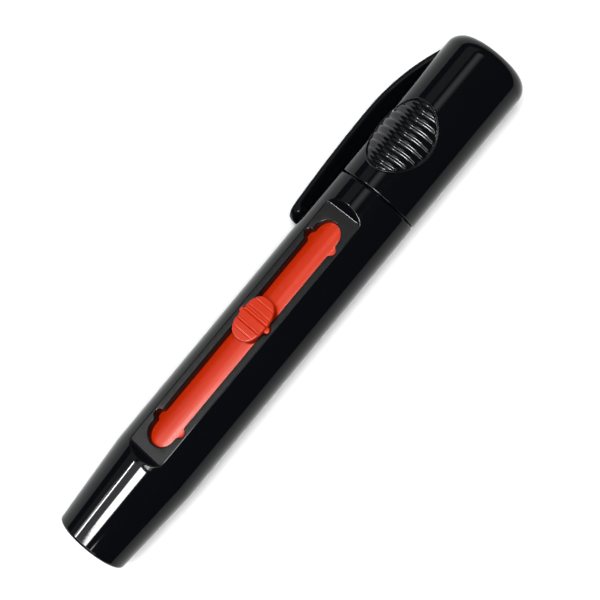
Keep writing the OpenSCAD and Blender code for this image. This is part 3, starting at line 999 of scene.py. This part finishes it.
def chamois_skin(p):
    """Dished face with a turned-over edge and a slightly uneven nap."""
    start, end, r = node_size("chamois_face")
    rng = random.Random(3)
    dish = [(end - p.dish * (1 - u * u), r * u) for u in [0.94 * (1 - k / 14) for k in range(15)]]
    skin = turned([(start, 0), (start, r - 0.05), (start + 0.15, r), (end - 0.2, r), (end - 0.06, r * 0.98)]
                  + dish, p.round_steps)
    for point in skin.points:
        if point[0] > start + 0.2:
            point[0] -= rng.uniform(0.0, 0.035)
    return skin


class PEN_OT_tip(bpy.types.Operator):
    """Build the rubber ring, the tip base, the stem, the backing, the foam and the chamois face"""

    bl_idname = "lens_pen.tip"
    bl_label = "Carbon tip"

    def execute(self, context):
        p = context.scene.pen_sizes
        finished("neck_ring", ring_skin(p), CAP_ROLL, "cap_ring", ["cap_o_ring"], "ring_rubber")
        finished("tip_plug", tip_base_skin(p), SLOT_ROLL, "barrel", ["tip_base"], "inner_plastic")
        finished("stem", stem_skin(p), SLOT_ROLL, "barrel", ["tip_stem"], "ring_rubber")
        backing, foam = disc_skin(p, "tip_backing", 0.3), disc_skin(p, "tip_foam", 0.12)
        finished("backing", backing, SLOT_ROLL, "barrel", ["tip_backing"], "inner_plastic")
        finished("foam", foam, SLOT_ROLL, "barrel", ["tip_foam"], "foam")
        finished("chamois", chamois_skin(p), SLOT_ROLL, "barrel", ["chamois_face"], "chamois")
        return {"FINISHED"}


# ---------------------------------------------------------------------------
# Cap, grip pads and clip
# ---------------------------------------------------------------------------


def cap_skin(p):
    """Turned cap with a rounded end and a stepped hollow."""
    sleeve_start, _, sleeve = node_size("tip_sleeve")
    cup_start, cup_end, cup = node_size("carbon_cup")
    bore = p.neck_radius + 0.09
    return lathe(p, [
        (CAP_START, bore, 0.2), (CAP_START, BODY_R, p.cap_lip), (PEN_END, BODY_R, p.cap_round),
        (PEN_END, 0, 0), (cup_end, 0, 0), (cup_end, cup, 0.1), (cup_start, cup, 0),
        (cup_start, sleeve, 0), (sleeve_start, sleeve, 0.1), (sleeve_start, bore, 0.1)], 10)


def sleeve_skin(p):
    """Sleeve in the cap round the tip, with a chamfered mouth."""
    start, end, r = node_size("tip_sleeve")
    inner = r - p.cup_wall
    return lathe(p, [(start, inner, 0.25), (start, r, 0.05), (end, r, 0), (end, inner, 0)], 4)


def cup_skin(p):
    """Cup for the carbon, with a floor under it."""
    start, end, r = node_size("carbon_cup")
    inner, floor = r - p.cup_wall, node_span("carbon_cake")[1]
    return lathe(p, [
        (start, inner, 0.15), (start, r, 0.05), (end, r, 0), (end, 0, 0), (floor, 0, 0), (floor, inner, 0)], 4)


# Where the grip pad's rim is, from its middle (0) to its edge (1), and half of its width
PAD_RIM, PAD_RIM_HALF = 0.955, 0.043


def pad_height(p, x, y, rho):
    """Height of the grip pad over the round surface: a raised rim, and ribs that run up to it."""
    shift, sway, low = 0.25, 0.08, 0.015
    wave = x - shift + sway * math.cos(1.1 * y + 0.4)
    crest = 1 - abs(2 * ((wave / p.rib_pitch) % 1.0) - 1)
    rib = 0.3 * math.sin(math.pi / 2 * crest) + 0.7 * smooth_step(0.1, 0.85, crest)
    field = low + (p.rib_height - low) * rib * (1 - smooth_step(0.88, 0.925, rho))
    rim = math.cos(math.pi / 2 * min(1.0, abs(rho - PAD_RIM) / PAD_RIM_HALF)) ** 2
    outer = smooth_step(0.975, 1.0, rho)
    return field * (1 - rim) * (1 - outer) + p.rim_height * rim - 0.1 * outer


def pad_skin(p):
    """Oval ribbed pad that follows the cap's round surface."""
    skin = Skin()
    lo, hi = node_span("grip_pad_front")
    centre, a = (lo + hi) / 2, (hi - lo) / 2
    b = p.pad_width / 2

    def point(x, y, height):
        turn = math.asin(y / BODY_R)
        r = BODY_R + height
        return (centre + x, r * math.sin(turn), r * math.cos(turn))

    across = [math.sin(math.pi / 2 * k / 40) for k in range(-40, 41)]
    columns = []
    for k in range(-160, 161):
        x = a * 0.9999 * math.sin(math.pi / 2 * k / 160)
        half = b * math.sqrt(1 - (x / a) ** 2)
        places = [(v * half, math.hypot(x / a, v * half / b)) for v in across]
        columns.append(skin.add_points([point(x, y, pad_height(p, x, y, rho)) for y, rho in places]))
    for left, right in zip(columns, columns[1:]):
        skin.bridge(left, right, closed=False)
    last = border_of(columns)
    edge = []
    for v in last:
        x, y, z = skin.points[v]
        edge.append((x - centre, BODY_R * math.sin(math.atan2(y, z))))
    for share in (1.0, 0.66, 0.33):
        last = skin.grow(last, [point(x * share, y * share, -p.pad_depth) for x, y in edge])
    middle = skin.add_points([point(0, 0, -p.pad_depth)])[0]
    skin.add_faces([(middle, last[(k + 1) % len(last)], last[k]) for k in range(len(last))])
    return skin


def clip_local():
    """The clip's CAD points in pen coordinates, with y out of the clip."""
    c, s = math.cos(CAP_ROLL), math.sin(CAP_ROLL)
    out = []
    for v in frame["nodes"]["clip"].data.vertices:
        y, z = (v.co.y - AXIS_Y) / MM, (v.co.z - AXIS_Z) / MM
        out.append(((v.co.x - NOSE_X) / MM, y * c - z * s, y * s + z * c))
    return np.array(out)


def clip_skin(p):
    """Spring clip: rounded sections along a long front arc and a tight rear arc, with a bead at the tip."""
    pts = clip_local()
    start, end = pts[:, 0].min(), pts[:, 0].max()
    crown_y, half = pts[:, 1].max(), pts[:, 2].max()
    crown_x = PEN_END - p.crown_back
    tip_round, bead_x, bead_half = 2.4, start + 2.2, 1.5

    def outer(x):
        r = p.front_arc if x < crown_x else p.rear_arc
        return crown_y - r + math.sqrt(r * r - (x - crown_x) ** 2)

    def thick(x):
        r = p.front_arc if x < crown_x else p.rear_arc
        return p.clip_thickness * r / math.sqrt(r * r - (x - crown_x) ** 2)

    deep = outer(bead_x) - thick(bead_x) - BODY_R - p.bead_gap
    nose_length, nose_cut = 0.5, 0.28
    rings = []
    stations = [start + tip_round * (1 - math.cos(math.pi / 2 * k / 14)) for k in range(14)]
    stations += spaced([(start + tip_round, 0.15), (bead_x + bead_half, 0.6), (end, 1)])
    for x in stations:
        into = tip_round - (x - start)
        w = half if into <= 0 else half - tip_round + math.sqrt(max(0.0, tip_round ** 2 - into ** 2))
        nose = 0.0 if x > start + nose_length else nose_cut * (1 - (x - start) / nose_length) ** 2
        u = (x - bead_x) / bead_half
        bead = 0 if abs(u) >= 1 else deep * (1 + math.cos(math.pi * u)) / 2
        top, low = outer(x) - nose, outer(x) - thick(x) - bead + nose
        e = min(p.clip_edge, w * 0.6, (top - low) * 0.48)
        ring = []
        for sz, sy, a0 in ((1, 1, 0), (-1, 1, 90), (-1, -1, 180), (1, -1, 270)):
            for k in range(7):
                a = math.radians(a0 + 90 * k / 6)
                ring.append((x, (top - e if sy > 0 else low + e) + e * math.sin(a),
                             sz * (w - e) + e * math.cos(a)))
        rings.append(ring)
    skin = Skin()
    skin.tube(rings)
    return skin


class PEN_OT_cap(bpy.types.Operator):
    """Build the cap, its grip pads, the clip, and what the cap holds"""

    bl_idname = "lens_pen.cap"
    bl_label = "Cap and clip"

    def execute(self, context):
        p = context.scene.pen_sizes
        finished("cap", cap_skin(p), CAP_ROLL, "cap", ["cap_shell"], "gloss_black")
        finished("grip_front", pad_skin(p), CAP_ROLL, "cap", ["grip_pad_front"], "grip_black")
        finished("grip_rear", pad_skin(p), CAP_ROLL + math.pi, "cap", ["grip_pad_rear"], "grip_black")
        finished("pocket_clip", clip_skin(p), CAP_ROLL, "clip", ["clip"], "gloss_black")
        finished("sleeve", sleeve_skin(p), CAP_ROLL, "cap", ["tip_sleeve"], "inner_plastic")
        finished("cup", cup_skin(p), CAP_ROLL, "cap", ["carbon_cup"], "inner_plastic")
        felt = finished("felt", disc_skin(p, "felt_pad", 0.15), CAP_ROLL, "cap", ["felt_pad"], "felt")
        refinish("carbon_cake", "carbon")
        return {"FINISHED"}


# ---------------------------------------------------------------------------
# Studio
# ---------------------------------------------------------------------------


# Half of the floor's side, and how high the mirrored lights and the fill hang
FLOOR, LIGHT_HEIGHT, FILL_HEIGHT = 4.0, 0.8, 1.3


def softbox(name, where, size, brightness, gloss_only=True, soft=0.0):
    """A flat light that faces down, in metres. soft fades it towards its two long edges.

    A gloss_only light is there to be mirrored in the pen, and the others only to light it.
    """
    data = bpy.data.lights.new(name, "AREA")
    data.shape = "RECTANGLE"
    data.size, data.size_y = size
    data.energy = brightness * math.pi * size[0] * size[1]
    if soft:
        data.use_nodes = True
        tree = data.node_tree
        parts = tree.nodes.new("ShaderNodeSeparateXYZ")
        tree.links.new(tree.nodes.new("ShaderNodeNewGeometry").outputs["Parametric"], parts.inputs[0])
        middle = math_node(tree, "ABSOLUTE", math_node(tree, "SUBTRACT", parts.outputs["Y"], 0.5))
        fade = tree.nodes.new("ShaderNodeMapRange")
        fade.interpolation_type = "SMOOTHSTEP"
        for label, value in (("From Min", 0.5), ("From Max", 0.5 - soft / 2)):
            fade.inputs[label].default_value = value
        tree.links.new(middle, fade.inputs["Value"])
        tree.links.new(fade.outputs["Result"], tree.nodes["Emission"].inputs["Strength"])
    obj = bpy.data.objects.new(name, data)
    obj.location = (*where, LIGHT_HEIGHT if gloss_only else FILL_HEIGHT)
    obj.visible_glossy = gloss_only
    obj.visible_diffuse = not gloss_only
    bpy.context.scene.collection.objects.link(obj)


class PEN_OT_stage(bpy.types.Operator):
    """Build the floor, the lights, the surroundings and the camera"""

    bl_idname = "lens_pen.stage"
    bl_label = "Studio"

    def execute(self, context):
        st = context.scene.pen_stage
        mesh = bpy.data.meshes.new("floor")
        corners = [(-FLOOR, -FLOOR, 0), (FLOOR, -FLOOR, 0), (FLOOR, FLOOR, 0), (-FLOOR, FLOOR, 0)]
        mesh.from_pydata(corners, [], [(0, 1, 2, 3)])
        mesh.materials.append(finish_named("studio_floor"))
        floor = bpy.data.objects.new("floor", mesh)
        context.scene.collection.objects.link(floor)

        softbox("nose_box", (-0.31, 0.238), (0.13, 0.325), st.key, soft=0.25)
        softbox("nose_line", (-0.43, 0.876), (0.2, 0.09), st.key * 1.3)
        softbox("nose_glow", (-0.36, 0.6), (0.16, 0.39), st.key * 0.04)
        softbox("slot_glint", (-0.155, 0.2), (0.05, 0.2), st.key * 0.4)
        softbox("flat_edge_light", (-0.055, 0.06), (0.23, 0.08), st.key * 0.14)
        softbox("rib_light", (-0.57, 0.3), (0.2, 1.6), st.ribs)
        softbox("wall_glow", (0.0, 0.5), (1.2, 0.48), st.glow, soft=0.9)
        softbox("far_wall", (0.0, 1.6), (3.0, 1.5), st.glow * 0.23)
        softbox("even_fill", (0.0, 0.06), (0.5, 0.5), st.fill, gloss_only=False)

        world = bpy.data.worlds.new("studio")
        world.use_nodes = True
        sky = world.node_tree.nodes["Background"]
        sky.inputs["Color"].default_value = (*context.scene.pen_colours.room, 1)
        context.scene.world = world
        view = context.scene.view_settings
        view.view_transform, view.gamma = "Standard", st.contrast

        data = bpy.data.cameras.new("camera")
        data.sensor_width = 36.0
        data.lens = st.camera_lens
        camera = bpy.data.objects.new("camera", data)
        middle = (PEN_END / 2 + st.look_ahead) * MM + NOSE_X
        camera.location = (middle, AXIS_Y - st.look_aside * MM, AXIS_Z + st.camera_distance * MM)
        camera.rotation_euler = (0.0, 0.0, st.camera_turn)
        context.scene.collection.objects.link(camera)
        context.scene.camera = camera
        return {"FINISHED"}


class PEN_OT_finishes(bpy.types.Operator):
    """Make the shared effects and every finish"""

    bl_idname = "lens_pen.finishes"
    bl_label = "Finishes"

    def execute(self, context):
        build_groups()
        build_finishes()
        return {"FINISHED"}


class PEN_PT_panel(bpy.types.Panel):
    """Lists the pen's pieces in the sidebar"""

    bl_idname = "PEN_PT_panel"
    bl_label = "Lens Pen"
    bl_space_type = "VIEW_3D"
    bl_region_type = "UI"
    bl_category = "Lens Pen"

    def draw(self, context):
        layout = self.layout
        for operator in OPERATORS:
            layout.operator(operator.bl_idname)
        for name, settings in SETTINGS.items():
            box = layout.box()
            for key in settings.__annotations__:
                box.prop(getattr(context.scene, name), key, text=key.replace("_", " ").capitalize())


SETTINGS = {"pen_sizes": PenSizes, "pen_colours": PenColours, "pen_stage": PenStage}
OPERATORS = (PEN_OT_finishes, PEN_OT_stage, PEN_OT_barrel, PEN_OT_brush, PEN_OT_tip, PEN_OT_cap)
CLASSES = (*SETTINGS.values(), *OPERATORS, PEN_PT_panel)


def register():
    for cls in CLASSES:
        bpy.utils.register_class(cls)
    for name, settings in SETTINGS.items():
        setattr(bpy.types.Scene, name, PointerProperty(type=settings))


def unregister():
    for name in SETTINGS:
        delattr(bpy.types.Scene, name)
    for cls in reversed(CLASSES):
        bpy.utils.unregister_class(cls)


def main():
    register()
    bpy.ops.lens_pen.finishes()
    bpy.ops.lens_pen.stage()
    bpy.ops.lens_pen.barrel()
    bpy.ops.lens_pen.brush()
    bpy.ops.lens_pen.tip()
    bpy.ops.lens_pen.cap()


if __name__ == "__main__":
    main()
